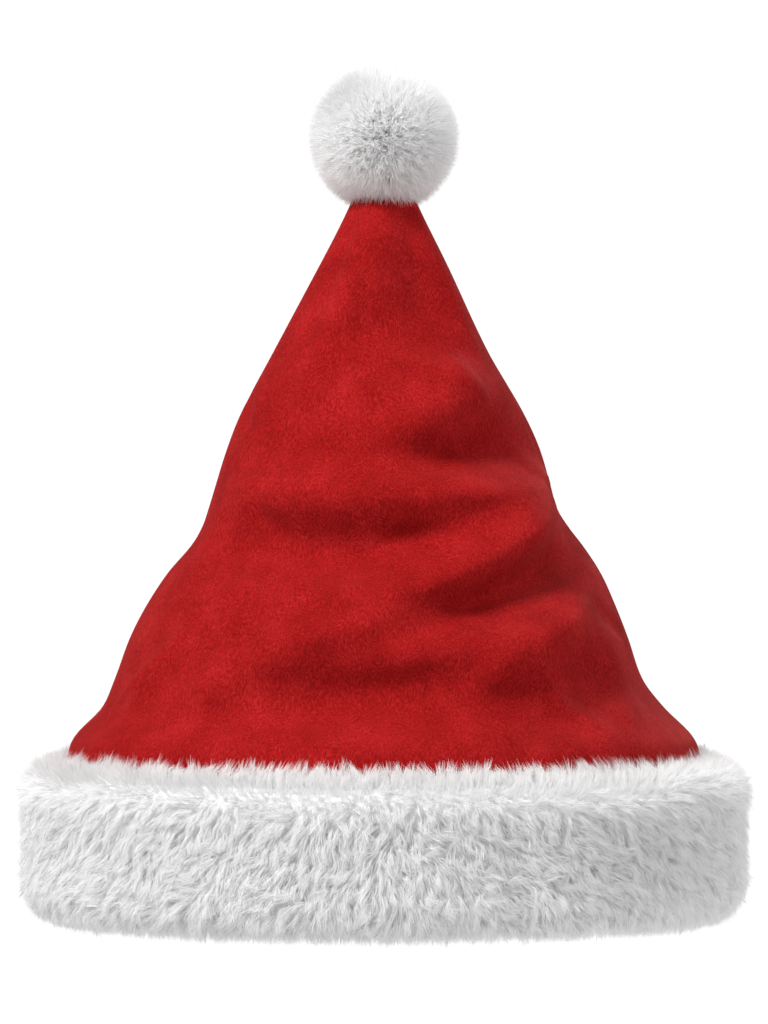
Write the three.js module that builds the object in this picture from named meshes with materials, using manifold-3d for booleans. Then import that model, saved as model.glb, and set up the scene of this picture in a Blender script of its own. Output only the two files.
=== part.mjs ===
// A plush Christmas hat, standing filled out as it does on a head: a soft red cone of two panels with a
// seam at each side, a deep white fur brim and a fur pompom over the tip. Millimetres, +Z up. The origin
// is the middle of the head opening, in the plane of the brim's lower edge, and the front faces -Y.

import Module from "manifold-3d";
import * as THREE from "three";
import { mergeVertices } from "three/addons/utils/BufferGeometryUtils.js";

const wasm = await Module();
wasm.setup();

// Driving dimensions
const HEAD_GIRTH = 580; // an adult's head, and so the way round the inside of the brim
const CLOTH = 2.5; // plush with its backing
const SEAM_GAP = 0.3; // between two pieces that are sewn together
const FACETED_GAP = 0.4; // the same between two round pieces, whose flats come nearer
const BRIM_HEIGHT = 52.5;
const BRIM_RADIUS = 113; // to the tips of the fur
const POMPOM_RADIUS = 22.8; // to the tips of the longest locks
const LEAST_LOCK_REACH = 21.4; // to the tips of the shortest ones
const LOCK_LENGTH_SEED = 2.4;
const POMPOM_BALL_RADIUS = 15.5; // where the locks part
const POMPOM_CENTRE = 241; // its height
const SOCKET_EDGE = -0.8; // the cosine from the top beyond which the ball has no locks
const SOCKET_HEIGHTS = [231, 226, 214]; // of the socket's profile, which runs out below the ball

// The cone's sections: its reach from the axis to each side, at each height, before the folds.
const SECTIONS = [
  { height: 50, left: 98.0, right: 98.0, front: 98.0, back: 98.0 },
  { height: 57, left: 95.2, right: 95.0, front: 95.4, back: 95.0 },
  { height: 66, left: 87.8, right: 87.2, front: 90.4, back: 88.4 },
  { height: 75, left: 83.7, right: 80.4, front: 86.0, back: 83.0 },
  { height: 88, left: 78.9, right: 75.8, front: 79.6, back: 78.6 },
  { height: 98, left: 73.8, right: 71.9, front: 74.6, back: 75.4 },
  { height: 108, left: 67.2, right: 67.4, front: 69.0, back: 70.8 },
  { height: 116, left: 60.3, right: 62.2, front: 64.2, back: 65.0 },
  { height: 122, left: 56.7, right: 57.6, front: 60.2, back: 60.4 },
  { height: 128, left: 54.6, right: 54.0, front: 56.8, back: 56.2 },
  { height: 146, left: 49.1, right: 48.9, front: 48.2, back: 46.8 },
  { height: 158, left: 44.4, right: 43.4, front: 42.4, back: 41.4 },
  { height: 177, left: 34.4, right: 32.4, front: 33.2, back: 33.4 },
  { height: 205, left: 19.6, right: 19.4, front: 19.5, back: 19.5 },
  { height: 222, left: 10.8, right: 10.8, front: 10.8, back: 10.8 },
  { height: 236, left: 3.5, right: 3.5, front: 3.5, back: 3.5 },
];

// The largest folds, each a soft ridge (depth above 0) or trough (below 0) along a line over the unrolled
// cone. turn1, z1 and turn2, z2 are its ends: degrees round from the middle of the front, positive to the
// right hand of someone who faces it, and the height. sag bows its middle down. above and below are its
// widths to each side.
const FOLDS = [
  { turn1: -28, z1: 94, turn2: 84, z2: 132, sag: -1, above: 14, below: 15, depth: 5.8 },
  { turn1: -24, z1: 85, turn2: 94, z2: 122, sag: 0, above: 15, below: 12, depth: -6 },
  { turn1: -80, z1: 131, turn2: 84, z2: 132, sag: -4, above: 11, below: 20, depth: 5.4 },
  { turn1: -70, z1: 120, turn2: 50, z2: 125, sag: 8, above: 20, below: 11, depth: -7 },
  { turn1: -16, z1: 135, turn2: 58, z2: 176, sag: -3, above: 13, below: 16, depth: 4.4 },
  { turn1: -22, z1: 141, turn2: 98, z2: 150, sag: 2, above: 20, below: 11, depth: -5.6 },
  { turn1: -40, z1: 185, turn2: 66, z2: 178, sag: 0, above: 30, below: 9, depth: -5 },
  { turn1: -38, z1: 154, turn2: -24, z2: 214, sag: 0, above: 9, below: 9, depth: 2 },
  { turn1: -32, z1: 86, turn2: 34, z2: 93, sag: -3, above: 10, below: 18, depth: 4 },
  { turn1: -44, z1: 67, turn2: 40, z2: 76, sag: 2, above: 19, below: 12, depth: -6 },
  { turn1: 10, z1: 72, turn2: 64, z2: 98, sag: -3, above: 11, below: 14, depth: 3.8 },
  { turn1: 16, z1: 61, turn2: 66, z2: 84, sag: 3, above: 16, below: 12, depth: -4.6 },
  { turn1: -68, z1: 67, turn2: -46, z2: 96, sag: 0, above: 9, below: 9, depth: 1.8 },
  { turn1: -50, z1: 73, turn2: -10, z2: 97, sag: 1, above: 10, below: 12, depth: 2 },
  { turn1: 96, z1: 128, turn2: 214, z2: 118, sag: -3, above: 12, below: 19, depth: 4.8 },
  { turn1: 98, z1: 114, turn2: 206, z2: 101, sag: 3, above: 19, below: 11, depth: -5.6 },
  { turn1: 172, z1: 102, turn2: 266, z2: 116, sag: -2, above: 12, below: 17, depth: 4.2 },
  { turn1: 168, z1: 87, turn2: 262, z2: 99, sag: 2, above: 17, below: 11, depth: -5.2 },
  { turn1: 128, z1: 158, turn2: 224, z2: 166, sag: -3, above: 12, below: 18, depth: 3.8 },
  { turn1: 126, z1: 143, turn2: 234, z2: 150, sag: 2, above: 18, below: 11, depth: -5 },
  { turn1: 146, z1: 188, turn2: 238, z2: 179, sag: 0, above: 26, below: 9, depth: -4 },
  { turn1: 102, z1: 88, turn2: 172, z2: 79, sag: -2, above: 11, below: 16, depth: 3.6 },
  { turn1: 106, z1: 72, turn2: 182, z2: 65, sag: 1, above: 16, below: 10, depth: -4.6 },
  { turn1: 206, z1: 82, turn2: 262, z2: 93, sag: -2, above: 11, below: 14, depth: 3.2 },
  { turn1: 204, z1: 67, turn2: 268, z2: 77, sag: 1, above: 15, below: 10, depth: -4.2 },
];

// How finely the shapes are cut into flats
const PANEL_COLUMNS = 46;
const FOLDED_ROWS = 30;
const TIP_ROWS = 6; // above the folds
const BRIM_STEPS = 64;
const BRIM_CORNER_STEPS = 4;
const POMPOM_SPLITS = 2; // of each edge of the ball's first 20 faces
const SOCKET_STEPS = 24;
const WELD = 1e-4; // points nearer than this are one

const OPENING_RADIUS = HEAD_GIRTH / (2 * Math.PI);
const CROWN_FOOT = SECTIONS[0].height; // where the cone meets the brim
const CROWN_FOOT_RADIUS = SECTIONS[0].front;
const TIP_HEIGHT = SECTIONS.at(-1).height; // the blunt tip, inside the pompom
const TIP_RADIUS = SECTIONS.at(-1).front;
// The wall is measured level, so on the slope it is about a tenth thinner than this.
const LEVEL_WALL = CLOTH * 1.12;
const FOLDS_TOP = 194;
const TIP_ROOF = 4; // the cloth gathered solid under the blunt tip
const LEAST_INNER_RADIUS = 0.8;
const ROW_HEIGHTS = [
  ...evenSteps(CROWN_FOOT, FOLDS_TOP, FOLDED_ROWS),
  ...evenSteps(FOLDS_TOP, TIP_HEIGHT, TIP_ROWS).slice(1),
];

function evenSteps(from, to, count) {
  return Array.from({ length: count + 1 }, (_, k) => THREE.MathUtils.lerp(from, to, k / count));
}

// A smooth value of one of the sections' columns at a height.
function sectionReach(column, height) {
  const last = SECTIONS.length - 1;
  let i = 0;
  while (i < last - 1 && height > SECTIONS[i + 1].height) i += 1;
  const slopeAt = (k) => {
    const low = SECTIONS[Math.max(k - 1, 0)];
    const high = SECTIONS[Math.min(k + 1, last)];
    return (high[column] - low[column]) / (high.height - low.height);
  };
  const from = SECTIONS[i];
  const to = SECTIONS[i + 1];
  const span = to.height - from.height;
  const t = (height - from.height) / span;
  const stay = 2 * t ** 3 - 3 * t ** 2 + 1;
  return (
    stay * from[column] +
    (1 - stay) * to[column] +
    (t ** 3 - 2 * t ** 2 + t) * span * slopeAt(i) +
    (t ** 3 - t ** 2) * span * slopeAt(i + 1)
  );
}

// The cone's radius before the folds. The angle is 0 at the right and turns by the back, so -90 is the front.
function plainRadius(angle, height) {
  const acrossReach = sectionReach(Math.cos(angle) >= 0 ? "right" : "left", height);
  const deepReach = sectionReach(Math.sin(angle) < 0 ? "front" : "back", height);
  return 1 / Math.hypot(Math.cos(angle) / acrossReach, Math.sin(angle) / deepReach);
}

// The angle of a turn from the middle of the front, in degrees.
function turnAngle(turn) {
  return THREE.MathUtils.degToRad(turn - 90);
}

function pointAt(angle, height, radius) {
  return new THREE.Vector3(radius * Math.cos(angle), radius * Math.sin(angle), height);
}

// How far one fold moves the cloth out. The cone is taken as unrolled at the fold's own middle.
function foldRise(fold, angle, height) {
  const middleTurn = (fold.turn1 + fold.turn2) / 2;
  const middleHeight = (fold.z1 + fold.z2) / 2;
  const mmPerDegree = THREE.MathUtils.degToRad(plainRadius(turnAngle(middleTurn), middleHeight));
  const away = THREE.MathUtils.radToDeg(angle - turnAngle(middleTurn));
  const across = (THREE.MathUtils.euclideanModulo(away + 180, 360) - 180) * mmPerDegree;
  const up = height - middleHeight;
  const runAcross = (fold.turn2 - fold.turn1) * mmPerDegree;
  const runUp = fold.z2 - fold.z1;
  const length = Math.hypot(runAcross, runUp);
  const share = THREE.MathUtils.clamp((across * runAcross + up * runUp) / length ** 2 + 0.5, 0, 1);
  const bow = fold.sag * 4 * share * (1 - share);
  const distance = (up * runAcross - across * runUp) / length + bow;
  const reach = Math.abs(distance) / (distance > 0 ? fold.above : fold.below);
  if (reach >= 1) return 0;
  const taper = (1 - Math.abs(2 * share - 1) ** 3) ** 2;
  return fold.depth * taper * (1 - reach ** 2) ** 2;
}

// The cone's radius with its folds.
function clothRadius(angle, height) {
  return FOLDS.reduce((radius, fold) => radius + foldRise(fold, angle, height), plainRadius(angle, height));
}

// A closed skin over a row of closed loops, with the first and last loop filled by strips. Each loop runs
// up the outer face and down the inner one, and point k of its outer half faces point k of its inner half.
function wallSkin(loops) {
  const positions = [];
  const count = loops[0].length;
  const addTriangle = (a, b, c) => {
    if (a.equals(b) || b.equals(c) || c.equals(a)) return;
    positions.push(...a, ...b, ...c);
  };
  // Cut along the shorter diagonal, which follows the folds
  const addQuad = (a, b, c, d) => {
    const turn = b.distanceTo(d) < a.distanceTo(c);
    const [p, q, r, s] = turn ? [b, c, d, a] : [a, b, c, d];
    addTriangle(p, q, r);
    addTriangle(p, r, s);
  };
  for (let i = 0; i < loops.length - 1; i += 1) {
    for (let j = 0; j < count; j += 1) {
      const next = (j + 1) % count;
      addQuad(loops[i][j], loops[i + 1][j], loops[i + 1][next], loops[i][next]);
    }
  }
  const fill = (loop, isFirst) => {
    for (let j = 0; j < count / 2 - 1; j += 1) {
      const corners = [loop[j], loop[j + 1], loop[count - 2 - j], loop[count - 1 - j]];
      if (!isFirst) corners.reverse();
      addQuad(...corners);
    }
  };
  fill(loops[0], true);
  fill(loops[loops.length - 1], false);
  const geometry = new THREE.BufferGeometry();
  geometry.setAttribute("position", new THREE.Float32BufferAttribute(positions, 3));
  return mergeVertices(geometry, WELD);
}

// One loop of a panel's wall: up its outer face, over the solid tip and down its inner face.
function panelLoop(angle, seamY) {
  const onSeam = Math.abs(Math.sin(angle)) < 1e-9;
  const place = (height, radius) => {
    const point = pointAt(angle, height, radius);
    if (onSeam) point.y = 0;
    point.y += seamY;
    return point;
  };
  const tipRoof = TIP_HEIGHT - TIP_ROOF;
  const outer = [];
  const inner = [];
  for (const outerHeight of ROW_HEIGHTS) {
    const innerHeight = THREE.MathUtils.mapLinear(outerHeight, CROWN_FOOT, TIP_HEIGHT, CROWN_FOOT, tipRoof);
    const innerRadius = clothRadius(angle, innerHeight) - LEVEL_WALL;
    outer.push(place(outerHeight, clothRadius(angle, outerHeight)));
    inner.push(place(innerHeight, Math.max(innerRadius, LEAST_INNER_RADIUS)));
  }
  outer.push(new THREE.Vector3(0, seamY, TIP_HEIGHT));
  inner.push(new THREE.Vector3(0, seamY, tipRoof));
  return [...outer, ...inner.reverse()];
}

// Half of the cone, from its right seam round to its left one, clear of the other half by the seam's gap.
function crownPanel(side) {
  const direction = side === "front" ? -1 : 1;
  const seamY = (direction * SEAM_GAP) / 2;
  const loops = Array.from({ length: PANEL_COLUMNS + 1 }, (_, i) =>
    panelLoop((direction * Math.PI * i) / PANEL_COLUMNS, seamY),
  );
  if (side === "front") loops.reverse();
  return wallSkin(loops);
}

// A quarter of an ellipse for a profile, from one angle to another, in degrees.
function corner(centreRadius, centreHeight, acrossReach, upReach, fromDegrees) {
  return Array.from({ length: BRIM_CORNER_STEPS + 1 }, (_, k) => {
    const angle = THREE.MathUtils.degToRad(fromDegrees + (90 * k) / BRIM_CORNER_STEPS);
    const radius = centreRadius + acrossReach * Math.cos(angle);
    return new THREE.Vector2(radius, centreHeight + upReach * Math.sin(angle));
  });
}

// A closed solid of revolution about +Z. LatheGeometry turns about +Y, so it is stood up.
function turned(profile, steps) {
  const geometry = new THREE.LatheGeometry(profile, steps).rotateX(Math.PI / 2);
  geometry.deleteAttribute("normal");
  geometry.deleteAttribute("uv");
  return mergeVertices(geometry, WELD);
}

// The brim: a strip of long fur folded lengthwise and closed to a ring. The cone's edge is sewn into a step
// in its top.
function furBrim() {
  const underFold = { across: 6, up: 6 };
  const lower = { across: 10, up: 11 };
  const upper = { across: 8.5, up: 14 };
  const innerLip = { across: 2.2, up: 2.2 };
  const stepRadius = CROWN_FOOT_RADIUS + FACETED_GAP;
  const stepHeight = CROWN_FOOT - SEAM_GAP;
  const profile = [
    ...corner(BRIM_RADIUS - lower.across, lower.up, lower.across, lower.up, -90),
    ...corner(BRIM_RADIUS - upper.across, BRIM_HEIGHT - upper.up, upper.across, upper.up, 0),
    new THREE.Vector2(stepRadius, BRIM_HEIGHT),
    new THREE.Vector2(stepRadius, stepHeight),
    ...corner(OPENING_RADIUS + innerLip.across, stepHeight - innerLip.up, innerLip.across, innerLip.up, 90),
    ...corner(OPENING_RADIUS + underFold.across, underFold.up, underFold.across, underFold.up, 180),
  ];
  profile.push(profile[0].clone());
  return turned(profile, BRIM_STEPS);
}

// A solid that the boolean library can cut, from a geometry that is closed once its points are merged.
function solid(geometry) {
  geometry.deleteAttribute("normal");
  geometry.deleteAttribute("uv");
  const merged = mergeVertices(geometry, WELD);
  return new wasm.Manifold(
    new wasm.Mesh({
      numProp: 3,
      vertProperties: new Float32Array(merged.getAttribute("position").array),
      triVerts: new Uint32Array(merged.index.array),
    }),
  );
}

function geometryOf(body) {
  const { vertProperties, triVerts } = body.getMesh();
  const geometry = new THREE.BufferGeometry();
  geometry.setAttribute("position", new THREE.Float32BufferAttribute(vertProperties, 3));
  geometry.setIndex(new THREE.Uint32BufferAttribute(triVerts, 1));
  return geometry;
}

// The pompom: locks of fur with their roots in one ball, each a spike with three sides, and in the ball's
// foot a socket that the cone's tip fills. The locks differ a little in length.
function furPompom() {
  const centre = new THREE.Vector3(0, 0, POMPOM_CENTRE);
  const ball = new THREE.IcosahedronGeometry(POMPOM_BALL_RADIUS, POMPOM_SPLITS);
  const faces = ball.getAttribute("position");
  const positions = [];
  for (let i = 0; i < faces.count; i += 3) {
    const corners = [0, 1, 2].map((k) => new THREE.Vector3().fromBufferAttribute(faces, i + k));
    const out = corners[0].clone().add(corners[1]).add(corners[2]).normalize();
    if (out.z < SOCKET_EDGE) {
      corners.forEach((corner) => positions.push(...corner.add(centre)));
      continue;
    }
    const unevenness = 0.5 + 0.5 * Math.sin(i * LOCK_LENGTH_SEED);
    const tip = out.clone().multiplyScalar(THREE.MathUtils.lerp(POMPOM_RADIUS, LEAST_LOCK_REACH, unevenness));
    for (let k = 0; k < 3; k += 1) {
      const side = [corners[k], corners[(k + 1) % 3], tip];
      side.forEach((point) => positions.push(...point.clone().add(centre)));
    }
  }
  const locks = new THREE.BufferGeometry();
  locks.setAttribute("position", new THREE.Float32BufferAttribute(positions, 3));
  const socketTop = TIP_HEIGHT + FACETED_GAP;
  const socketFoot = SOCKET_HEIGHTS.at(-1);
  const onSocket = (height) => new THREE.Vector2(sectionReach("front", height) + FACETED_GAP, height);
  const profile = [
    new THREE.Vector2(0, socketFoot),
    ...SOCKET_HEIGHTS.map(onSocket).reverse(),
    new THREE.Vector2(TIP_RADIUS + FACETED_GAP, socketTop),
    new THREE.Vector2(0, socketTop),
  ];
  return geometryOf(solid(locks).subtract(solid(turned(profile, SOCKET_STEPS))));
}

const RED_PLUSH = new THREE.MeshStandardMaterial({ color: 0xb92021, roughness: 0.9, metalness: 0 });
const WHITE_FUR = new THREE.MeshStandardMaterial({ color: 0xe9e9e8, roughness: 0.95, metalness: 0 });

function piece(name, geometry, material) {
  const mesh = new THREE.Mesh(geometry, material.clone());
  mesh.name = name;
  return mesh;
}

const hat = new THREE.Group();
hat.add(
  piece("crown_front", crownPanel("front"), RED_PLUSH),
  piece("crown_back", crownPanel("back"), RED_PLUSH),
  piece("fur_brim", furBrim(), WHITE_FUR),
  piece("fur_pompom", furPompom(), WHITE_FUR),
);

export default hat;
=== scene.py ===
"""A plush Christmas hat, filled out as on a head: a red cone of two panels, with a white fur brim and pompom.

Lengths are in metres unless a name ends in _mm or a docstring says millimetres. +Z is up, the front faces
-Y, and the origin is the middle of the head opening.
"""

from __future__ import annotations

import logging
import math
from dataclasses import dataclass
from enum import Enum
from typing import Any, Iterable

import bmesh
import bpy
import numpy as np
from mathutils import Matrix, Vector

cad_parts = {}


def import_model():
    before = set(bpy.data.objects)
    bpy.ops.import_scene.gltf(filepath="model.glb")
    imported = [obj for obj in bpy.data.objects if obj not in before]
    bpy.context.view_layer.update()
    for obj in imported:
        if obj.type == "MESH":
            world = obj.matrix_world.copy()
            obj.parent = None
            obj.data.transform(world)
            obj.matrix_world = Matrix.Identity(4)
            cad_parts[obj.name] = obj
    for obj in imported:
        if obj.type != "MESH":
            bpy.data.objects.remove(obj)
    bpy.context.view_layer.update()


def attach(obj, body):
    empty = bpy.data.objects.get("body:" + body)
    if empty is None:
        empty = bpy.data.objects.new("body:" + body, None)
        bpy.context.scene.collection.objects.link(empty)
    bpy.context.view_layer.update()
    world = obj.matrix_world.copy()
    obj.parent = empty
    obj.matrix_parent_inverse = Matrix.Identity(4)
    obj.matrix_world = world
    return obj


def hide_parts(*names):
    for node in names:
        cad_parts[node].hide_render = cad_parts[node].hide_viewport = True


LOG = logging.getLogger("hat")
MM = 0.001
SEED = 7
BODY = "root"

Array = np.ndarray


# Small helpers


def linear(hex_colour: str) -> tuple[float, float, float, float]:
    """Turns an sRGB hex colour, such as "b92021", into linear RGBA."""
    channels = [int(hex_colour[i : i + 2], 16) / 255 for i in (0, 2, 4)]
    bent = [c / 12.92 if c <= 0.04045 else ((c + 0.055) / 1.055) ** 2.4 for c in channels]
    return (*bent, 1.0)


def new_material(name: str) -> tuple[bpy.types.Material, bpy.types.NodeTree]:
    """Makes a material with an empty node tree, and gives both."""
    material = bpy.data.materials.new(name)
    material.use_nodes = True
    material.node_tree.nodes.clear()
    return material, material.node_tree


def add_node(
    tree: bpy.types.NodeTree, kind: str, inputs: dict[Any, Any] | None = None, **settings: Any
) -> bpy.types.Node:
    """Adds a shader node.

    Args:
        tree: The node tree that it goes into.
        kind: The node's type name, without its "ShaderNode" in front.
        inputs: A value, or another node's output to link, for each named or numbered input.
        settings: The node's own properties.

    Returns:
        The new node.
    """
    node = tree.nodes.new("ShaderNode" + kind)
    for name, value in settings.items():
        setattr(node, name, value)
    for socket, value in (inputs or {}).items():
        if isinstance(value, bpy.types.NodeSocket):
            tree.links.new(value, node.inputs[socket])
        else:
            node.inputs[socket].default_value = value
    return node


def mix_colours(
    tree: bpy.types.NodeTree, factor: Any, first: Any, second: Any, **settings: Any
) -> bpy.types.NodeSocket:
    """A colour from the first to the second, which are colours or other nodes' outputs, by a factor."""
    inputs = {"Factor": factor, 6: first, 7: second}
    return add_node(tree, "Mix", inputs, data_type="RGBA", **settings).outputs[2]


def unit(vectors: Array) -> Array:
    """Scales each row of vectors to length 1."""
    return vectors / np.maximum(np.linalg.norm(vectors, axis=-1, keepdims=True), 1e-12)


def smooth_step(value: Array, low: float, high: float) -> Array:
    """A soft step from 0 at low to 1 at high."""
    t = np.clip((value - low) / (high - low), 0, 1)
    return t * t * (3 - 2 * t)


def mesh_from(shape: bmesh.types.BMesh, name: str, smooth: bool = True) -> bpy.types.Mesh:
    """Turns an edited shape into a mesh, smooth or flat to the eye, and frees the shape."""
    mesh = bpy.data.meshes.new(name)
    shape.to_mesh(mesh)
    shape.free()
    mesh.polygons.foreach_set("use_smooth", np.full(len(mesh.polygons), smooth))
    return mesh


def show(piece: bpy.types.Object) -> None:
    """Hangs a piece on the hat's one body and logs how many faces it has."""
    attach(piece, BODY)
    LOG.info("%s: %d faces", piece.name, len(piece.data.polygons))


def add_object(name: str, mesh: bpy.types.Mesh, *materials: bpy.types.Material) -> bpy.types.Object:
    """Puts a mesh with its materials into the scene as an object at the origin."""
    for material in materials:
        mesh.materials.append(material)
    piece = bpy.data.objects.new(name, mesh)
    bpy.context.scene.collection.objects.link(piece)
    return piece


# Finishes


@dataclass(frozen=True)
class PlushFinish:
    """Polyester velboa plush: a dense pile 2 mm deep that was brushed and then rubbed.

    The eye sees a matt red in fine short strokes, with painted shade between them and a painted highlight
    along their tops, mottled where the pile lies one way or another, with a pale bloom where it is seen along
    the surface.
    """

    name: str = "red_velboa_plush"
    deep: str = "720708"  # painted shade between the strokes
    middle: str = "910f10"
    highlight_red: str = "b12223"  # painted highlight along their tops
    bloom: str = "ff8078"
    stops: tuple[float, float, float] = (0.38, 0.56, 0.78)  # the shades at which the three reds stand
    pile_mm: float = 0.5  # the width of the pile's strokes
    slimness: float = 0.33  # their width as a share of their length
    turn_mm: float = 10.0  # how far apart the strokes turn
    sweep_mm: float = 8.0  # how far they are swept aside
    patch_mm: float = 14.0  # where the pile lies one way
    stroke_share: float = 0.85  # how much the strokes count in the shade
    patch_share: float = 0.3  # and how much the patches do
    relief: float = 0.85  # how strongly the strokes catch the light

    def material(self) -> bpy.types.Material:
        """Makes the cloth's material."""
        material, tree = new_material(self.name)
        coordinates = add_node(tree, "TexCoord").outputs["Object"]
        # The pile lies mostly down the cone, in strokes that turn from place to place
        turning = add_node(
            tree, "TexNoise", {"Vector": coordinates, "Scale": 1 / (self.turn_mm * MM), "Detail": 1.0}
        ).outputs["Color"]
        sweep = (self.sweep_mm * MM,) * 3
        swept = add_node(
            tree, "VectorMath", {0: turning, 1: sweep, 2: coordinates}, operation="MULTIPLY_ADD"
        ).outputs["Vector"]
        along = add_node(tree, "Mapping", {"Vector": swept, "Scale": (1, 1, self.slimness)}).outputs["Vector"]
        tufts = add_node(
            tree,
            "TexNoise",
            {"Vector": along, "Scale": 1 / (self.pile_mm * MM), "Detail": 2.5, "Roughness": 0.72},
        ).outputs["Fac"]
        patches = add_node(
            tree,
            "TexNoise",
            {"Vector": coordinates, "Scale": 1 / (self.patch_mm * MM), "Detail": 2.0, "Roughness": 0.55},
        ).outputs["Fac"]
        shift = add_node(tree, "Math", {0: patches, 1: self.patch_share}, operation="MULTIPLY").outputs[0]
        strokes = add_node(tree, "Math", {0: tufts, 1: self.stroke_share}, operation="MULTIPLY").outputs[0]
        shade = add_node(tree, "Math", {0: strokes, 1: shift}, operation="ADD").outputs[0]
        # The strokes' low places take the deep red and their tops the highlight red: painted shade and
        # painted highlight, shifted at random by the patches
        ramp = add_node(tree, "ValToRGB", {"Fac": shade})
        stops = ramp.color_ramp.elements
        stops[0].position, stops[0].color = self.stops[0], linear(self.deep)
        stops[1].position, stops[1].color = self.stops[2], linear(self.highlight_red)
        stops.new(self.stops[1]).color = linear(self.middle)
        bump = add_node(
            tree, "Bump", {"Height": tufts, "Strength": self.relief, "Distance": 0.5 * self.pile_mm * MM}
        ).outputs["Normal"]
        shader = add_node(
            tree,
            "BsdfPrincipled",
            {
                "Base Color": ramp.outputs["Color"],
                "Roughness": 0.92,
                "Specular IOR Level": 0.08,
                "Sheen Weight": 0.22,
                "Sheen Roughness": 0.25,
                "Sheen Tint": linear(self.bloom),
                "Normal": bump,
            },
        )
        add_node(tree, "OutputMaterial", {"Surface": shader.outputs["BSDF"]})
        return material


@dataclass(frozen=True)
class KnitBackingFinish:
    """Warp-knit polyester, dyed with the pile: the plush's wrong side.

    The eye sees it inside the hat, flat and matt with fine upright ribs, painted darker in the grooves
    between them as painted shade.
    """

    name: str = "red_knit_backing"
    light: str = "a3181c"
    painted_shade: str = "7f0f13"
    rib_mm: float = 1.2
    rib_depth_mm: float = 0.2

    def material(self) -> bpy.types.Material:
        """Makes the material of the cloth's wrong side."""
        material, tree = new_material(self.name)
        coordinates = add_node(tree, "TexCoord").outputs["UV"]
        ribs = add_node(
            tree,
            "TexWave",
            {
                "Vector": coordinates,
                "Scale": 1 / (math.pi * self.rib_mm * MM),
                "Distortion": 0.8,
                "Detail": 2.0,
            },
            bands_direction="X",
        ).outputs["Fac"]
        # Painted shade: the grooves between the ribs darker, their tops lighter
        colour = mix_colours(tree, ribs, linear(self.painted_shade), linear(self.light))
        bump = add_node(
            tree, "Bump", {"Height": ribs, "Strength": 0.35, "Distance": self.rib_depth_mm * MM}
        ).outputs["Normal"]
        shader = add_node(
            tree,
            "BsdfPrincipled",
            {"Base Color": colour, "Roughness": 0.95, "Specular IOR Level": 0.15, "Normal": bump},
        )
        add_node(tree, "OutputMaterial", {"Surface": shader.outputs["BSDF"]})
        return material


@dataclass(frozen=True)
class FurFinish:
    """Acrylic long-pile fur, white: fine crimped fibres that gather in locks.

    The eye sees a soft white with grey depths between the locks, with painted shade greying each hair's foot,
    and a faint change of shade from lock to lock. The hairs are about five times as thick as real fibres, so
    that fewer of them fill the fur.
    """

    name: str = "white_acrylic_fur"
    # Painted shade: the hairs' feet are greyer than their tips
    root: str = "f2f2f2"
    tip: str = "ffffff"
    shaded_lock: str = "fafafa"
    lets_through: float = 0.45  # the share of the light that goes through a hair

    def material(self) -> bpy.types.Material:
        """Makes the hairs' material, which reads how far along a hair a point is and which lock it is in."""
        material, tree = new_material(self.name)
        along = add_node(tree, "Attribute", attribute_name="along").outputs["Fac"]
        lock = add_node(tree, "Attribute", attribute_name="lock").outputs["Fac"]
        # Painted shade along each hair, greyest at its foot
        hair = mix_colours(tree, along, linear(self.root), linear(self.tip))
        colour = mix_colours(tree, lock, hair, linear(self.shaded_lock), blend_type="MULTIPLY")
        surface = add_node(
            tree, "BsdfPrincipled", {"Base Color": colour, "Roughness": 0.6, "Specular IOR Level": 0.25}
        ).outputs["BSDF"]
        # Fine fibres let light through
        inner = add_node(tree, "BsdfTranslucent", {"Color": colour}).outputs["BSDF"]
        shader = add_node(tree, "MixShader", {0: self.lets_through, 1: surface, 2: inner})
        add_node(tree, "OutputMaterial", {"Surface": shader.outputs["Shader"]})
        return material


@dataclass(frozen=True)
class FurBackingFinish:
    """The fur's knitted ground with the feet of its hairs.

    The eye sees little of it: an off-white, pitted between the hairs, with painted shade in the pits.
    """

    name: str = "white_fur_backing"
    light: str = "f2f2f2"
    painted_shade: str = "d8d8d8"
    pit_mm: float = 1.1
    pit_depth_mm: float = 0.6

    def material(self) -> bpy.types.Material:
        """Makes the ground's material."""
        material, tree = new_material(self.name)
        coordinates = add_node(tree, "TexCoord").outputs["Object"]
        pits = add_node(
            tree, "TexNoise", {"Vector": coordinates, "Scale": 1 / (self.pit_mm * MM), "Detail": 3.0}
        ).outputs["Fac"]
        # Painted shade: the pits darker than the ground round them
        colour = mix_colours(tree, pits, linear(self.painted_shade), linear(self.light))
        bump = add_node(
            tree, "Bump", {"Height": pits, "Strength": 0.7, "Distance": self.pit_depth_mm * MM}
        ).outputs["Normal"]
        shader = add_node(
            tree,
            "BsdfPrincipled",
            {"Base Color": colour, "Roughness": 0.95, "Specular IOR Level": 0.15, "Normal": bump},
        )
        add_node(tree, "OutputMaterial", {"Surface": shader.outputs["BSDF"]})
        return material


# The cone


class Side(Enum):
    """The half of the cone that a panel is, with the sign of its Y."""

    FRONT = -1
    BACK = 1


@dataclass(frozen=True)
class Section:
    """The cone's reach from the axis to each side at one height, before the folds, in millimetres."""

    height: float
    left: float
    right: float
    front: float
    back: float


@dataclass(frozen=True)
class Fold:
    """A soft ridge (depth above 0) or trough (below 0) along a line over the unrolled cone, in millimetres.

    turn1, z1 and turn2, z2 are its ends: degrees round from the middle of the front, positive to the right
    hand of someone who faces it, and the height. sag bows its middle down. above and below are its widths
    to each side.
    """

    turn1: float
    z1: float
    turn2: float
    z2: float
    sag: float
    above: float
    below: float
    depth: float


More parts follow.
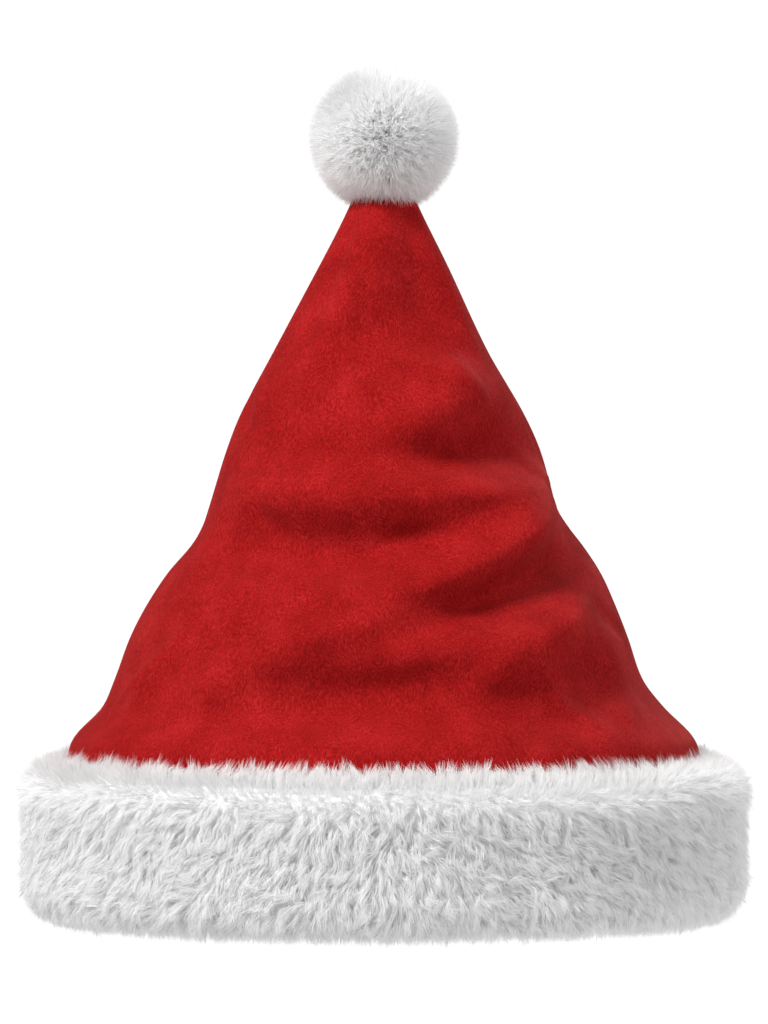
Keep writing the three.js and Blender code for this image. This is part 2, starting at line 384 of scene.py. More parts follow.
# As the solids' sections, but about 1 mm further out at the foot, where the cloth meets the brim's hairs
SECTIONS = (
    Section(50, 98.6, 98.6, 98.6, 98.6),
    Section(57, 96.3, 96.1, 96.3, 95.9),
    Section(66, 87.8, 87.2, 90.4, 88.4),
    Section(75, 83.7, 80.4, 86.0, 83.0),
    Section(88, 78.9, 75.8, 79.6, 78.6),
    Section(98, 73.8, 71.9, 74.6, 75.4),
    Section(108, 67.2, 67.4, 69.0, 70.8),
    Section(116, 60.3, 62.2, 64.2, 65.0),
    Section(122, 56.7, 57.6, 60.2, 60.4),
    Section(128, 54.6, 54.0, 56.8, 56.2),
    Section(146, 49.1, 48.9, 48.2, 46.8),
    Section(158, 44.4, 43.4, 42.4, 41.4),
    Section(177, 34.4, 32.4, 33.2, 33.4),
    Section(205, 19.6, 19.4, 19.5, 19.5),
    Section(222, 10.8, 10.8, 10.8, 10.8),
    Section(236, 3.5, 3.5, 3.5, 3.5),
)

# The solids' own folds: the front's as in the picture, and similar ones round the back
LARGE_FOLDS = (
    Fold(-28, 94, 84, 132, -1, 14, 15, 5.8),
    Fold(-24, 85, 94, 122, 0, 15, 12, -6),
    Fold(-80, 131, 84, 132, -4, 11, 20, 5.4),
    Fold(-70, 120, 50, 125, 8, 20, 11, -7),
    Fold(-16, 135, 58, 176, -3, 13, 16, 4.4),
    Fold(-22, 141, 98, 150, 2, 20, 11, -5.6),
    Fold(-40, 185, 66, 178, 0, 30, 9, -5),
    Fold(-38, 154, -24, 214, 0, 9, 9, 2),
    Fold(-32, 86, 34, 93, -3, 10, 18, 4),
    Fold(-44, 67, 40, 76, 2, 19, 12, -6),
    Fold(10, 72, 64, 98, -3, 11, 14, 3.8),
    Fold(16, 61, 66, 84, 3, 16, 12, -4.6),
    Fold(-68, 67, -46, 96, 0, 9, 9, 1.8),
    Fold(-50, 73, -10, 97, 1, 10, 12, 2),
    Fold(96, 128, 214, 118, -3, 12, 19, 4.8),
    Fold(98, 114, 206, 101, 3, 19, 11, -5.6),
    Fold(172, 102, 266, 116, -2, 12, 17, 4.2),
    Fold(168, 87, 262, 99, 2, 17, 11, -5.2),
    Fold(128, 158, 224, 166, -3, 12, 18, 3.8),
    Fold(126, 143, 234, 150, 2, 18, 11, -5),
    Fold(146, 188, 238, 179, 0, 26, 9, -4),
    Fold(102, 88, 172, 79, -2, 11, 16, 3.6),
    Fold(106, 72, 182, 65, 1, 16, 10, -4.6),
    Fold(206, 82, 262, 93, -2, 11, 14, 3.2),
    Fold(204, 67, 268, 77, 1, 15, 10, -4.2),
)

# Creases too narrow or too shallow for the solids: the front's, and similar ones round the back
FINE_FOLDS = (
    Fold(-74, 67, -52, 88, 0, 3, 3.5, 1.2),
    Fold(62, 98, 80, 89, 0, 6, 5, -1.4),
    Fold(-84, 165, -64, 152, 0, 5, 4, -1.2),
    Fold(36, 75, 52, 62, 2, 6, 7, 1.4),
    Fold(50, 62, 70, 70, -1, 6, 6, 1.2),
    Fold(-27, 184, -21, 155, 0, 5, 5, -1.4),
    Fold(-14, 92, -9, 70, 0, 5, 5, -1.1),
    Fold(8, 90, 12, 72, 0, 5, 5, -1),
    Fold(-48, 132, -30, 118, 0, 6, 6, -1.2),
    Fold(-62, 112, -40, 104, 0, 6, 6, -1),
    Fold(-30, 112, -8, 104, 0, 5, 7, 0.9),
    Fold(30, 178, 52, 160, 0, 5, 6, 1.1),
    Fold(60, 146, 84, 136, 0, 6, 5, 1),
    Fold(-6, 66, 14, 58, 0, 5, 5, -0.8),
    Fold(12, 60, 34, 96, -1, 7, 7, 0.8),
    Fold(-22, 228, -18, 178, 0, 20, 8, 2.8),
    Fold(32, 228, 36, 176, 0, 12, 18, -2.6),
    Fold(-38, 112, 20, 110, 0, 16, 11, -2.4),
    Fold(-26, 71, 14, 74, 0, 18, 12, -2.4),
    Fold(-30, 94, 4, 95, 0, 6, 9, 1.8),
    Fold(-6, 89, 34, 103, 0, 9, 6, -1.5),
    Fold(6, 93, 72, 120, 0, 13, 8, -2.8),
    Fold(46, 101, 86, 115, 0, 6, 7, 1.8),
    Fold(8, 137, 44, 135, 0, 5, 6, 1.2),
    Fold(2, 142, 74, 147, 0, 11, 5, -2.2),
    Fold(-4, 119, 26, 121, 0, 6, 5, -1.2),
    Fold(12, 60, 76, 90, 0, 10, 9, 2),
    Fold(-46, 75, -28, 74, 0, 9, 8, 1),
    Fold(4, 110, 62, 130, 0, 6, 9, 2),
    Fold(28, 76, 60, 90, 0, 8, 8, -1.2),
    Fold(22, 80, 40, 84, 0, 8, 8, 1),
    Fold(18, 84, 66, 105, 0, 7, 7, 1.8),
    Fold(98, 106, 128, 95, 0, 5, 6, 1.1),
    Fold(112, 132, 136, 122, 0, 5, 5, -1.1),
    Fold(150, 112, 176, 104, 0, 5, 6, 1),
    Fold(188, 134, 214, 141, -1, 4, 5, 1.2),
    Fold(196, 76, 222, 92, 0, 5, 5, -1.1),
    Fold(140, 174, 168, 158, 0, 5, 5, 1),
    Fold(226, 108, 250, 98, 0, 6, 5, -1.2),
    Fold(160, 90, 170, 70, 0, 5, 5, -1),
    Fold(232, 70, 256, 62, 1, 5, 5, 1),
    Fold(182, 206, 200, 186, 0, 6, 6, -1),
    Fold(240, 152, 262, 136, 0, 5, 5, 1.1),
)


@dataclass
class Cone:
    """The cone's shape: how far out its cloth is at an angle and a height, in millimetres.

    The angle is 0 at the right and turns by the back, so -pi/2 is the front.
    """

    sections: tuple[Section, ...] = SECTIONS
    folds: tuple[Fold, ...] = LARGE_FOLDS + FINE_FOLDS
    seam_dip: float = 0.9  # how far the seam pulls the pile in
    seam_width: float = 3.2
    seam_fade: tuple[float, float] = (4.0, 30.0)  # the heights below the tip over which the dip comes in

    @property
    def foot(self) -> float:
        """The height of the cone's lower edge."""
        return self.sections[0].height

    @property
    def tip(self) -> float:
        """The height of the cone's blunt tip."""
        return self.sections[-1].height

    def reach(self, side: str, height: Array) -> Array:
        """A smooth value of one of the sections' reaches at each height."""
        heights = np.array([section.height for section in self.sections])
        reaches = np.array([getattr(section, side) for section in self.sections])
        last = len(heights) - 1
        low = np.maximum(np.arange(last + 1) - 1, 0)
        high = np.minimum(np.arange(last + 1) + 1, last)
        slopes = (reaches[high] - reaches[low]) / (heights[high] - heights[low])
        i = np.clip(np.searchsorted(heights, height, side="right") - 1, 0, last - 1)
        span = heights[i + 1] - heights[i]
        t = (height - heights[i]) / span
        stay = 2 * t**3 - 3 * t**2 + 1
        return (
            stay * reaches[i]
            + (1 - stay) * reaches[i + 1]
            + (t**3 - 2 * t**2 + t) * span * slopes[i]
            + (t**3 - t**2) * span * slopes[i + 1]
        )

    def plain_radius(self, angle: Array, height: Array) -> Array:
        """The radius before the folds."""
        across = np.where(np.cos(angle) >= 0, self.reach("right", height), self.reach("left", height))
        deep = np.where(np.sin(angle) < 0, self.reach("front", height), self.reach("back", height))
        return 1 / np.hypot(np.cos(angle) / across, np.sin(angle) / deep)

    def point(self, angle: Array, height: Array, radius: Array) -> Array:
        """Points at angles, heights and radii."""
        return np.stack([radius * np.cos(angle), radius * np.sin(angle), height], axis=-1)

    def _fold_rise(self, fold: Fold, angle: Array, height: Array) -> Array:
        """How far one fold moves the cloth out, with the cone unrolled at the fold's own middle."""
        middle = np.array([math.radians((fold.turn1 + fold.turn2) / 2 - 90)])
        middle_height = (fold.z1 + fold.z2) / 2
        radius = float(self.plain_radius(middle, np.array([middle_height]))[0])
        across = ((angle - middle + math.pi) % (2 * math.pi) - math.pi) * radius
        up = height - middle_height
        run_across = math.radians(fold.turn2 - fold.turn1) * radius
        run_up = fold.z2 - fold.z1
        length = math.hypot(run_across, run_up)
        share = np.clip((across * run_across + up * run_up) / length**2 + 0.5, 0, 1)
        distance = (up * run_across - across * run_up) / length + fold.sag * 4 * share * (1 - share)
        reach = np.minimum(np.abs(distance) / np.where(distance > 0, fold.above, fold.below), 1)
        taper = (1 - np.abs(2 * share - 1) ** 3) ** 2
        return fold.depth * taper * (1 - reach**2) ** 2

    def cloth_radius(self, angle: Array, height: Array) -> Array:
        """The radius with the folds and with the dip along each side seam."""
        plain = self.plain_radius(angle, height)
        rise = sum(self._fold_rise(fold, angle, height) for fold in self.folds)
        from_seam = np.abs(plain * np.sin(angle)) / self.seam_width
        dip = self.seam_dip * np.exp(-(from_seam**2)) * smooth_step(self.tip - height, *self.seam_fade)
        return plain + rise - dip


@dataclass
class CrownPanel:
    """One of the cone's two panels, from seam to seam, as a shell of cloth."""

    cone: Cone
    side: Side
    node: str
    columns: int = 156
    rows: int = 110
    cloth_mm: float = 2.5
    middle_radius_mm: float = 60.0  # for the width of the cloth in its UV map

    def build(self, plush: bpy.types.Material, backing: bpy.types.Material) -> bpy.types.Object:
        """Makes the panel.

        Args:
            plush: The finish of the right side.
            backing: The finish of the wrong side.

        Returns:
            The finished piece.
        """
        grid = bmesh.new()
        bmesh.ops.create_grid(grid, x_segments=self.columns, y_segments=self.rows, size=0.5, calc_uvs=True)
        mesh = mesh_from(grid, self.node)
        place = np.empty(len(mesh.vertices) * 3)
        mesh.vertices.foreach_get("co", place)
        across, up, _ = place.reshape(-1, 3).T
        angle = math.pi * (self.side.value / 2 + across)
        height = self.cone.foot + (up + 0.5) * (self.cone.tip - self.cone.foot)
        points = self.cone.point(angle, height, self.cone.cloth_radius(angle, height))
        mesh.vertices.foreach_set("co", (points * MM).ravel())
        self._lay_uvs(mesh, angle, height)
        piece = add_object(f"{self.node}_plush", mesh, plush, backing)
        wall = piece.modifiers.new("wall", "SOLIDIFY")
        wall.thickness = self.cloth_mm * MM
        wall.offset = -1
        wall.material_offset = 1
        wall.use_quality_normals = True
        return piece

    def _lay_uvs(self, mesh: bpy.types.Mesh, angle: Array, height: Array) -> None:
        """Gives the panel a UV map in metres: round the cone, and up it."""
        corners = np.empty(len(mesh.loops), int)
        mesh.loops.foreach_get("vertex_index", corners)
        layer = mesh.uv_layers.active or mesh.uv_layers.new(name="UVMap")
        flat = np.stack([angle[corners] * self.middle_radius_mm * MM, height[corners] * MM], axis=-1)
        layer.data.foreach_set("uv", flat.ravel())


# Fur


@dataclass
class Roots:
    """Where locks of hair stand: their places, and the directions out of the ground, down it and round it."""

    place: Array
    out: Array
    down: Array
    round: Array


@dataclass
class Coat:
    """Hairs as narrow blades, widest at a knee half way, two triangles a hair, gathered in locks."""

    hairs_per_lock: int
    lock_radius: float
    gather: float  # a lock's width at its tip, as a share of that at its root
    width: float
    stray: float = 0.12  # how far a hair leaves its lock, as a share of its length
    bend: float = 0.45  # how far out the knee is pulled, as a share of the hair's length
    lengths: tuple[float, float] = (0.72, 1.08)  # the shortest and longest hairs, as shares of their lock's
    widths: tuple[float, float] = (0.7, 1.25)  # the same for their widths
    twist: float = 0.35  # how far a blade's flat side turns from facing out

    def build(
        self,
        name: str,
        roots: Roots,
        lean: Array,
        length: Array,
        rng: np.random.Generator,
        material: bpy.types.Material,
    ) -> bpy.types.Object:
        """Makes one piece of fur.

        Args:
            name: The piece's name.
            roots: The locks' roots.
            lean: Each lock's direction from its root to its tip.
            length: Each lock's length.
            rng: The source of chance.
            material: The hairs' finish.

        Returns:
            The finished piece.
        """
        count = len(roots.place) * self.hairs_per_lock
        lock = np.repeat(np.arange(len(roots.place)), self.hairs_per_lock)
        out, down, sideways = roots.out[lock], roots.down[lock], roots.round[lock]
        turn = rng.uniform(0, 2 * math.pi, count)
        spread = self.lock_radius * np.sqrt(rng.uniform(0, 1, count))
        offset = (down * np.cos(turn)[:, None] + sideways * np.sin(turn)[:, None]) * spread[:, None]
        own_length = length[lock] * rng.uniform(*self.lengths, count)
        course = unit(lean[lock] + rng.normal(0, self.stray, (count, 3)))
        start = roots.place[lock] + offset
        end = start + course * own_length[:, None] - offset * (1 - self.gather)
        knee = start + out * (self.bend * own_length)[:, None] - offset * (1 - self.gather) * 0.3
        # The widest point lies on a soft curve from the root past the knee to the tip
        middle = 0.2 * start + 0.5 * knee + 0.3 * end
        # A blade's flat side faces out, turned a little by chance, so that hairs catch the light unevenly
        twist = rng.normal(0, self.twist, (count, 3)) * own_length[:, None]
        across = unit(np.cross(end - start, out) + twist)
        half = across * (self.width / 2) * rng.uniform(*self.widths, count)[:, None]
        mesh = self._mesh(name, np.stack([middle - half, end, middle + half, start], axis=1))
        self._mark(mesh, "along", np.tile([0.5, 1.0, 0.5, 0.0], count))
        self._mark(mesh, "lock", np.repeat(rng.uniform(0, 1, len(roots.place))[lock], 4))
        return add_object(name, mesh, material)

    def _mesh(self, name: str, points: Array) -> bpy.types.Mesh:
        """Joins the blades' points, four for each, into one mesh."""
        count = len(points)
        mesh = bpy.data.meshes.new(name)
        mesh.vertices.add(count * 4)
        mesh.vertices.foreach_set("co", points.ravel())
        mesh.loops.add(count * 4)
        mesh.loops.foreach_set("vertex_index", np.arange(count * 4, dtype=np.int32))
        mesh.polygons.add(count)
        mesh.polygons.foreach_set("loop_start", np.arange(0, count * 4, 4, dtype=np.int32))
        mesh.polygons.foreach_set("use_smooth", np.zeros(count, bool))
        mesh.update(calc_edges=True)
        mesh.validate()
        return mesh

    def _mark(self, mesh: bpy.types.Mesh, name: str, values: Array) -> None:
        """Stores a number for each point of the mesh."""
        mark = mesh.attributes.new(name, "FLOAT", "POINT")
        mark.data.foreach_set("value", values.astype(np.float32))


@dataclass
class Wander:
    """A soft chance field round the brim and down it, from a few sines."""

    rng: np.random.Generator
    turns: float
    per_mm: float
    count: int = 7

    def __post_init__(self) -> None:
        """Draws the sines."""
        self.around = np.round(self.rng.normal(0, self.turns, self.count))
        self.along = self.rng.normal(0, self.per_mm, self.count)
        self.phase = self.rng.uniform(0, 2 * math.pi, self.count)

    def at(self, angle: Array, down_mm: Array) -> Array:
        """The field's value, which spreads about 1 to each side of 0."""
        waves = [
            np.sin(a * angle + k * down_mm + p) for a, k, p in zip(self.around, self.along, self.phase)
        ]
        return sum(waves) / math.sqrt(self.count / 2)


@dataclass(frozen=True)
class Arc:
    """A quarter round of the brim's ground, in millimetres, from one angle to another, in degrees."""

    radius: float
    height: float
    across: float
    up: float
    start: float
    end: float

    def points(self, steps: int = 7) -> list[tuple[float, float]]:
        """Points along the arc as radius and height."""
        angles = np.radians(np.linspace(self.start, self.end, steps))
        return [
            (self.radius + self.across * math.cos(a), self.height + self.up * math.sin(a)) for a in angles
        ]


@dataclass(frozen=True)
class Combing:
    """How the brim's hairs lie, in degrees.

    A lock's tilt is how far it leans down the ground from straight out of it, and its heading is how far it
    then turns round the brim.
    """

    top_tilt: float = -14.0
    lift_at_cone: float = 44.0
    fall: float = 76.0  # what the tilt gains down the outside
    lift_below: float = 42.0  # what it loses again under the lower edge
    wave_tilt: float = 2.0
    tuft_tilt: float = 8.0
    chance_tilt: float = 5.0
    away_heading: float = 46.0  # away from the middle of the front
    wave_heading: float = 8.0
    twist_heading: float = 26.0
    chance_heading: float = 9.0
    straighter_below: float = 0.5  # the share of the heading that is lost under the lower edge
    parting: float = 0.5  # how wide the front's parting is, in radians
    least_ruffled: float = 0.55
    more_in_front: float = 0.6  # and as much more at the back's middle
    calmer_below: float = 0.6

    def ruffled(self, from_front: Array, hanging: Array) -> Array:
        """How ruffled the fur is: most at the middle of the front and of the back, least below."""
        return (self.least_ruffled + self.more_in_front * np.abs(np.cos(from_front))) * (
            1 - self.calmer_below * hanging
        )


@dataclass
class FurBrim:
    """The brim: a ring of folded fur strip with hairs all over it."""

    rng: np.random.Generator
    node: str = "fur_brim"
    combing: Combing = Combing()
    steps: int = 96
    sectors: int = 5
    lock_spacing_mm: float = 1.2
    hair_mm: float = 7.0
    # Lengths along the ground, from the cone's edge over the outside and under
    edge_mm: float = 3.0  # to here the hairs lean to the cone
    edge_blend: tuple[float, float] = (0.6, 1.4)  # where that ends, as shares of edge_mm
    top_mm: float = 19.0  # from here on they lie down
    uneven_mm: float = 2.0  # how unevenly that comes
    foot_mm: float = 44.0  # from here on they turn to hang from the lower edge
    inside_mm: float = 62.0  # from here on they are short
    inside_fade_mm: float = 8.0
    # Shares of the hairs' length
    top_share: float = 0.86  # what they have on the top
    lost_below: float = 0.22  # what they lose under the lower edge
    lost_inside: float = 0.5  # and on the inside
    length_chance: float = 0.07
    cone_edge_mm: float = 98.2  # from the axis to where the ground meets the cone
    # The ground that the hairs stand on, from the cone's edge over the outside and under to the inside
    ground: tuple[Arc, ...] = (
        Arc(100.0, 38.3, 9.1, 8.6, 90, 0),
        Arc(100.5, 13.2, 8.6, 8.8, 0, -90),
        Arc(100.5, 12.0, 4.5, 7.6, -90, -180),
    )
    inner_top_mm: float = 49.4

    def ground_profile(self) -> Array:
        """The ground's closed outline as radius and height, in millimetres."""
        points = [p for arc in self.ground for p in arc.points()]
        inner = points[-1][0]
        return np.array([(inner, self.inner_top_mm), (self.cone_edge_mm, self.inner_top_mm), *points])

    def build_ground(self, material: bpy.types.Material) -> bpy.types.Object:
        """Spins the ground's outline into a ring."""
        ring = bmesh.new()
        outline = [ring.verts.new((radius * MM, 0, up * MM)) for radius, up in self.ground_profile()]
        edges = [ring.edges.new((a, b)) for a, b in zip(outline, outline[1:] + outline[:1])]
        bmesh.ops.spin(
            ring,
            geom=outline + edges,
            axis=(0, 0, 1),
            cent=(0, 0, 0),
            steps=self.steps,
            angle=2 * math.pi,
            use_merge=True,
        )
        bmesh.ops.remove_doubles(ring, verts=ring.verts, dist=0.01 * MM)
        bmesh.ops.recalc_face_normals(ring, faces=ring.faces)
        return add_object("brim_ground", mesh_from(ring, "brim_ground"), material)

    def _locks(self, start_angle: float, end_angle: float) -> tuple[Roots, Array, Array]:
        """Scatters locks evenly over one sector of the ground.

        Args:
            start_angle: Where the sector starts, in radians.
            end_angle: Where it ends.

        Returns:
            The locks' roots, their angles, and how far each is along the ground from the cone's edge, in
            millimetres.
        """
        profile = self.ground_profile()[1:]
        runs = np.diff(profile, axis=0)
        lengths = np.linalg.norm(runs, axis=1)
        distance = np.concatenate([[0], np.cumsum(lengths)])
        rows = int(distance[-1] / self.lock_spacing_mm)
        columns = int((end_angle - start_angle) * profile[:, 0].mean() / self.lock_spacing_mm)
        row, column = np.meshgrid(np.arange(rows), np.arange(columns), indexing="ij")
        jitter = self.rng.uniform(-0.5, 0.5, (2, rows, columns))
        down_mm = np.clip((row + 0.5 + jitter[0]) / rows * distance[-1], 0, distance[-1] - 0.01).ravel()
        # Every other row is half a lock further round
        share = (column + 0.5 * (row % 2) + 0.25 + jitter[1]) / columns
        angle = (start_angle + share * (end_angle - start_angle)).ravel()
        i = np.searchsorted(distance, down_mm, side="right") - 1
        radius, height = (profile[i] + runs[i] * ((down_mm - distance[i]) / lengths[i])[:, None]).T
        along = runs[i] / lengths[i][:, None]
        radial = np.stack([np.cos(angle), np.sin(angle), np.zeros_like(angle)], axis=-1)
        upright = np.array([0, 0, 1.0])
        down = radial * along[:, :1] + upright * along[:, 1:]
        out = upright * along[:, :1] - radial * along[:, 1:]
        sideways = np.stack([-np.sin(angle), np.cos(angle), np.zeros_like(angle)], axis=-1)
        place = (radial * radius[:, None] + upright * height[:, None]) * MM
        return Roots(place, out, down, sideways), angle, down_mm

    def _comb(
        self, roots: Roots, angle: Array, down_mm: Array, fields: tuple[Wander, Wander, Wander]
    ) -> tuple[Array, Array]:
        """Works out how the locks of one sector lie.

        Args:
            roots: The locks' roots.
            angle: Their angles.
            down_mm: How far each is along the ground from the cone's edge.
            fields: The chance fields of the waves, the tufts and the twists.

        Returns:
            The locks' directions and their lengths.
        """
        comb = self.combing
        swirl, tuft, twist = fields
        chance = self.rng.normal(0, 1, (3, len(angle)))
        from_front = np.arctan2(np.cos(angle), -np.sin(angle))
        wave = swirl.at(angle, down_mm)
        # At the cone the hairs stand up, then they fall, combed away from the middle of the front, and
        # from the lower edge they hang
        at_cone = 1 - smooth_step(down_mm, *(share * self.edge_mm for share in self.edge_blend))
        falling = smooth_step(down_mm + self.uneven_mm * wave, self.edge_mm, self.top_mm)
        hanging = smooth_step(down_mm, self.foot_mm, self.inside_mm)
        inside = smooth_step(down_mm, self.inside_mm, self.inside_mm + self.inside_fade_mm)
        ruffled = comb.ruffled(from_front, hanging)
        tilt = comb.top_tilt - comb.lift_at_cone * at_cone + comb.fall * falling - comb.lift_below * hanging
        tilt += (comb.wave_tilt * wave + comb.tuft_tilt * tuft.at(angle, down_mm)) * ruffled
        tilt = np.radians(tilt + comb.chance_tilt * chance[0])
        away = np.tanh(from_front / comb.parting) * np.cos(from_front / 2)
        heading = comb.away_heading * away * (1 - comb.straighter_below * hanging)
        heading += (comb.wave_heading * wave + comb.twist_heading * twist.at(angle, down_mm)) * ruffled
        heading = np.radians(heading + comb.chance_heading * chance[1])
        lean = (
            roots.out * np.cos(tilt)[:, None]
            + roots.down * (np.sin(tilt) * np.cos(heading))[:, None]
            + roots.round * (np.sin(tilt) * np.sin(heading))[:, None]
        )
        share = self.top_share + (1 - self.top_share) * falling - self.lost_below * hanging
        length = self.hair_mm * MM * share * (1 - self.lost_inside * inside)
        return lean, length * (1 + self.length_chance * chance[2])

    def build_fur(self, material: bpy.types.Material) -> list[bpy.types.Object]:
        """Makes the brim's fur, in sectors."""
        waves = Wander(self.rng, turns=16, per_mm=0.14)
        tufts = Wander(self.rng, turns=80, per_mm=0.7, count=16)
        twists = Wander(self.rng, turns=90, per_mm=0.8, count=16)
        coat = Coat(hairs_per_lock=11, lock_radius=0.75 * MM, gather=0.45, width=0.18 * MM, stray=0.13)
        # The last sector has the middle of the front in its own middle, so no border lies there
        bounds = np.linspace(0, 2 * math.pi, self.sectors + 1) - math.pi / 2 + math.pi / self.sectors
        pieces = []
        for k in range(self.sectors):
            roots, angle, down_mm = self._locks(bounds[k], bounds[k + 1])
            lean, length = self._comb(roots, angle, down_mm, (waves, tufts, twists))
            pieces.append(coat.build(f"brim_fur_{k + 1}", roots, lean, length, self.rng, material))
        return pieces


@dataclass
class FurPompom:
    """The pompom: hairs standing out of a small ball over the cone's tip."""

    rng: np.random.Generator
    node: str = "fur_pompom"
    centre_mm: float = 242.4
    core_mm: float = 15.0
    reach_mm: float = 23.5
    locks: int = 9000
    place_chance: float = 0.04  # how unevenly the locks stand
    lean_chance: float = 0.14  # and how unevenly they lean
    spare: float = 1.04  # a hair bends, so it is a little longer than its reach

    def build_core(self, material: bpy.types.Material) -> bpy.types.Object:
        """Makes the ball that the hairs stand on."""
        ball = bmesh.new()
        bmesh.ops.create_uvsphere(ball, u_segments=36, v_segments=20, radius=self.core_mm * MM)
        bmesh.ops.translate(ball, vec=(0, 0, self.centre_mm * MM), verts=ball.verts)
        return add_object("pompom_core", mesh_from(ball, "pompom_core"), material)

    def build_fur(self, material: bpy.types.Material) -> bpy.types.Object:
        """Makes the pompom's fur."""
        # An even spiral of locks over the ball
        k = np.arange(self.locks) + 0.5
        polar = np.arccos(1 - 2 * k / self.locks)
        angle = math.pi * (1 + math.sqrt(5)) * k
        out = np.stack([np.sin(polar) * np.cos(angle), np.sin(polar) * np.sin(angle), np.cos(polar)], axis=-1)
        out = unit(out + self.rng.normal(0, self.place_chance, out.shape))
        sideways = unit(np.cross([0, 0, 1.0], out))
        down = np.cross(out, sideways)
        place = (out * self.core_mm + [0, 0, self.centre_mm]) * MM
        lean = unit(out + self.rng.normal(0, self.lean_chance, out.shape))
        length = np.full(self.locks, (self.reach_mm - self.core_mm) * self.spare * MM)
        coat = Coat(hairs_per_lock=8, lock_radius=0.35 * MM, gather=1.7, width=0.21 * MM, bend=0.5)
        roots = Roots(place, out, down, sideways)
        return coat.build("pompom_fur", roots, lean, length, self.rng, material)


# The studio


@dataclass(frozen=True)
class SoftLight:
    """A square soft light, by its width and its power in watts."""

    name: str
    place: tuple[float, float, float]
    width: float
    watts: float


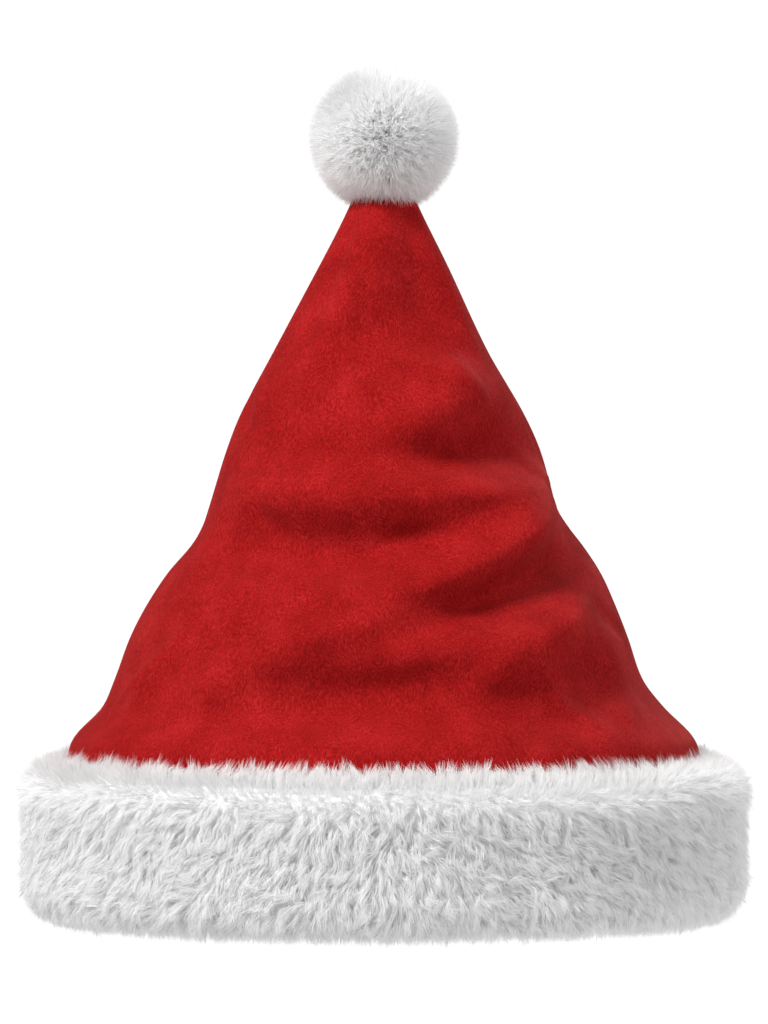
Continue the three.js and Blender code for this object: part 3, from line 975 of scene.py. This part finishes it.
@dataclass(frozen=True)
class Studio:
    """A plain white studio with soft light from the upper left, and the photograph's camera."""

    image_height_px: int = 1024
    mm_per_px: float = 0.31
    sensor_width_mm: float = 36
    distance: float = 3.0
    camera_height: float = 0.205
    aim_height: float = 0.1268
    farthest_seen: float = 50
    floor_height: float = -0.3
    floor_radius: float = 1.5
    floor_colour: str = "d8d8d8"
    floor_fade: tuple[float, float] = (0.35, 0.97)  # from where to where, as shares of its radius
    sky_light: float = 0.38
    sky_seen: float = 1.05  # a little over white, so that it is pure white in the picture
    lights: tuple[SoftLight, ...] = (
        SoftLight("key", (-1.5, -1.35, 2.2), 0.9, 97),
        SoftLight("fill", (2.2, -1.4, 0.9), 1.5, 24),
        SoftLight("rim", (1.2, 1.8, 1.6), 1.2, 22),
    )

    def add_camera(self) -> None:
        """Adds the camera, level with the hat's upper half and looking slightly down."""
        place = Vector((0, -self.distance, self.camera_height))
        aim = Vector((0, 0, self.aim_height))
        data = bpy.data.cameras.new("camera")
        view_height = self.image_height_px * self.mm_per_px * MM
        data.sensor_width = self.sensor_width_mm
        data.lens = data.sensor_width * (aim - place).length / view_height
        data.clip_end = self.farthest_seen
        camera = bpy.data.objects.new("camera", data)
        camera.location = place
        camera.rotation_euler = (aim - place).to_track_quat("-Z", "Y").to_euler()
        bpy.context.scene.collection.objects.link(camera)
        bpy.context.scene.camera = camera

    def add_light(self, light: SoftLight) -> None:
        """Adds a light that faces the hat."""
        data = bpy.data.lights.new(light.name, "AREA")
        data.size = light.width
        data.energy = light.watts
        lamp = bpy.data.objects.new(light.name, data)
        lamp.location = light.place
        aim = Vector((0, 0, self.aim_height)) - lamp.location
        lamp.rotation_euler = aim.to_track_quat("-Z", "Y").to_euler()
        bpy.context.scene.collection.objects.link(lamp)

    def add_floor(self) -> None:
        """Adds a pale round floor some way below the hat, which a head would hold up, fading out to white."""
        disc = bmesh.new()
        bmesh.ops.create_circle(disc, cap_ends=True, segments=64, radius=self.floor_radius)
        bmesh.ops.translate(disc, vec=(0, 0, self.floor_height), verts=disc.verts)
        mesh = mesh_from(disc, "floor", smooth=False)
        paint, tree = new_material("pale_matt_floor_paint")
        place = add_node(tree, "TexCoord").outputs["Object"]
        from_middle = add_node(tree, "VectorMath", {0: place}, operation="LENGTH").outputs["Value"]
        start, end = (share * self.floor_radius for share in self.floor_fade)
        fade = add_node(
            tree,
            "MapRange",
            {"Value": from_middle, "From Min": start, "From Max": end},
            interpolation_type="SMOOTHSTEP",
        ).outputs["Result"]
        # The floor's underside is clear, so that the hat can be looked at from below
        below = add_node(tree, "NewGeometry").outputs["Backfacing"]
        clear = add_node(tree, "Math", {0: fade, 1: below}, operation="MAXIMUM").outputs[0]
        matt = add_node(
            tree, "BsdfPrincipled", {"Base Color": linear(self.floor_colour), "Roughness": 0.95}
        )
        nothing = add_node(tree, "BsdfTransparent")
        mix = add_node(
            tree, "MixShader", {0: clear, 1: matt.outputs["BSDF"], 2: nothing.outputs["BSDF"]}
        ).outputs["Shader"]
        add_node(tree, "OutputMaterial", {"Surface": mix})
        add_object("floor", mesh, paint)

    def add_sky(self) -> None:
        """Adds a sky that is white behind the hat and sends it an even, weaker light."""
        world = bpy.data.worlds.new("studio")
        world.use_nodes = True
        tree = world.node_tree
        tree.nodes.clear()
        seen = add_node(tree, "LightPath").outputs["Is Camera Ray"]
        strength = add_node(
            tree, "MapRange", {"Value": seen, "To Min": self.sky_light, "To Max": self.sky_seen}
        ).outputs["Result"]
        sky = add_node(tree, "Background", {"Color": (1, 1, 1, 1), "Strength": strength})
        add_node(tree, "OutputWorld", {"Surface": sky.outputs["Background"]})
        bpy.context.scene.world = world

    def build(self) -> None:
        """Adds the floor, the sky and the lights."""
        self.add_floor()
        self.add_sky()
        for light in self.lights:
            self.add_light(light)
        bpy.context.scene.view_settings.view_transform = "Standard"


def corners(box: Iterable[Iterable[float]]) -> list[list[float]]:
    """A box's two corners as plain lists of numbers."""
    return [[float(value) for value in corner] for corner in box]


def main() -> None:
    """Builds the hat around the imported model."""
    logging.basicConfig(level=logging.INFO, format="%(name)s: %(message)s")
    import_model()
    rng = np.random.default_rng(SEED)
    studio = Studio()
    studio.add_camera()

    plush, knit = PlushFinish().material(), KnitBackingFinish().material()
    hair, ground = FurFinish().material(), FurBackingFinish().material()
    # The pompom's hairs stand on end, so more light reaches their feet
    pompom_hair = FurFinish(
        "white_pompom_fur", root="fdfdfd", shaded_lock="fdfdfd", lets_through=0.65
    ).material()

    cone = Cone()
    for side, node in ((Side.FRONT, "crown_front"), (Side.BACK, "crown_back")):
        panel = CrownPanel(cone, side, node).build(plush, knit)
        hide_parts(node)
        show(panel)

    brim = FurBrim(rng)
    brim_ground = brim.build_ground(ground)
    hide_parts(brim.node)
    show(brim_ground)
    for piece in brim.build_fur(hair):
        show(piece)

    pompom = FurPompom(rng)
    core = pompom.build_core(ground)
    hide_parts(pompom.node)
    show(core)
    show(pompom.build_fur(pompom_hair))

    studio.build()


if __name__ == "__main__":
    main()
